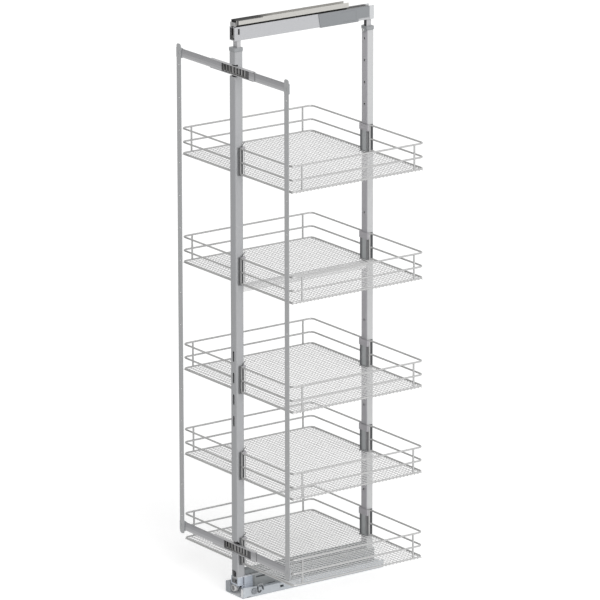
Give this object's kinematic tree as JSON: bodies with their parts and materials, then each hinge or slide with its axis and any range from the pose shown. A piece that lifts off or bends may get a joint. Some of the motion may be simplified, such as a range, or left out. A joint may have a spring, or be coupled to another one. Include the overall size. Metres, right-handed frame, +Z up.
{
  "type": "pull-out larder unit",
  "caption": "Tall centre-frame pull-out larder: lift-off wire baskets on two posts that run on a floor runner and a top rail, with sliding bars for the door front.",
  "frame": {"origin": "middle of the underside of the floor runner, on the cabinet's bottom panel", "axes": "+Z up along the posts, -Y the way the unit pulls out towards the door, X across the cabinet"},
  "size_m": [0.5516, 0.4991, 1.6935],
  "materials": {
    "runner": "silver lacquer on folded steel",
    "cap": "moulded, satin",
    "white": "moulded, satin",
    "dark_steel": "zinc plated, in shade",
    "carriage": "lacquered steel",
    "shoe": "moulded, satin",
    "post": "silver lacquer",
    "tube": "zinc plated",
    "collar": "moulded, satin",
    "wire": "bright plated wire",
    "floor": "bright plated mesh",
    "bracket": "moulded, matt",
    "slide": "zinc plated",
    "cage": "moulded, matt",
    "saddle": "moulded, satin",
    "bar": "silver lacquer",
    "beam": "satin anodised",
    "rail": "satin anodised",
    "cover": "moulded, satin",
    "end_plate": "moulded, satin"
  },
  "bodies": {
    "cabinet_side": {"runner": "runner", "runner_cap_left": "cap", "runner_cap_right": "cap", "latch_hook": "dark_steel", "top_rail": "rail"},
    "adjuster": {"adjuster_knob": "dark_steel"},
    "floor_member": {"runner_member": "dark_steel"},
    "beam_member": {"top_member": "dark_steel"},
    "pull_frame": {"carriage": "carriage", "carriage_shoe": "shoe", "carriage_buffer": "white", "foot_tie": "dark_steel", "mid_tie": "post", "front_post": "post", "rear_post": "post", "front_tube": "tube", "rear_tube": "tube", "front_collar": "collar", "rear_collar": "collar", "front_clamp_screw": "dark_steel", "rear_clamp_screw": "dark_steel", "basket_1_frame": "wire", "basket_1_floor": "floor", "bracket_1_front": "bracket", "bracket_1_rear": "bracket", "basket_2_frame": "wire", "basket_2_floor": "floor", "bracket_2_front": "bracket", "bracket_2_rear": "bracket", "basket_3_frame": "wire", "basket_3_floor": "floor", "bracket_3_front": "bracket", "bracket_3_rear": "bracket", "basket_4_frame": "wire", "basket_4_floor": "floor", "bracket_4_front": "bracket", "bracket_4_rear": "bracket", "basket_5_frame": "wire", "basket_5_floor": "floor", "bracket_5_front": "bracket", "bracket_5_rear": "bracket", "top_slide_outer": "slide", "top_slide_cage": "cage", "bottom_slide_outer": "slide", "bottom_slide_cage": "cage", "top_beam": "beam", "damper_cover": "cover", "beam_end_plate": "end_plate"},
    "left_door_bar": {"door_bar_left": "bar", "top_slide_left": "slide", "bottom_slide_left": "slide", "top_saddle_left": "saddle", "bottom_saddle_left": "saddle"},
    "right_door_bar": {"door_bar_right": "bar", "top_slide_right": "slide", "bottom_slide_right": "slide", "top_slide_stop": "cage", "bottom_slide_stop": "cage", "top_saddle_right": "saddle", "bottom_saddle_right": "saddle"}
  },
  "joints": [
    {"name": "pull_out", "type": "slide", "parent": "cabinet_side", "child": "pull_frame", "axis": [0, -1, 0], "range_m": [0, 0.43]},
    {"name": "floor_member_slide", "type": "slide", "parent": "cabinet_side", "child": "floor_member", "axis": [0, -1, 0], "range_m": [0, 0.216]},
    {"name": "beam_member_slide", "type": "slide", "parent": "cabinet_side", "child": "beam_member", "axis": [0, -1, 0], "range_m": [0, 0.216]},
    {"name": "left_bar_slide", "type": "slide", "parent": "pull_frame", "child": "left_door_bar", "axis": [1, 0, 0], "range_m": [-0.015, 0.05]},
    {"name": "right_bar_slide", "type": "slide", "parent": "pull_frame", "child": "right_door_bar", "axis": [-1, 0, 0], "range_m": [-0.015, 0.05]},
    {"name": "adjuster_turn", "type": "hinge", "parent": "cabinet_side", "child": "adjuster", "pos_m": [0.045, -0.2117, 0.0186], "axis": [1, 0, 0], "continuous": true}
  ],
  "couplings": [
    {"joint": "floor_member_slide", "follows": "pull_out", "ratio": 0.5},
    {"joint": "beam_member_slide", "follows": "pull_out", "ratio": 0.5}
  ]
}
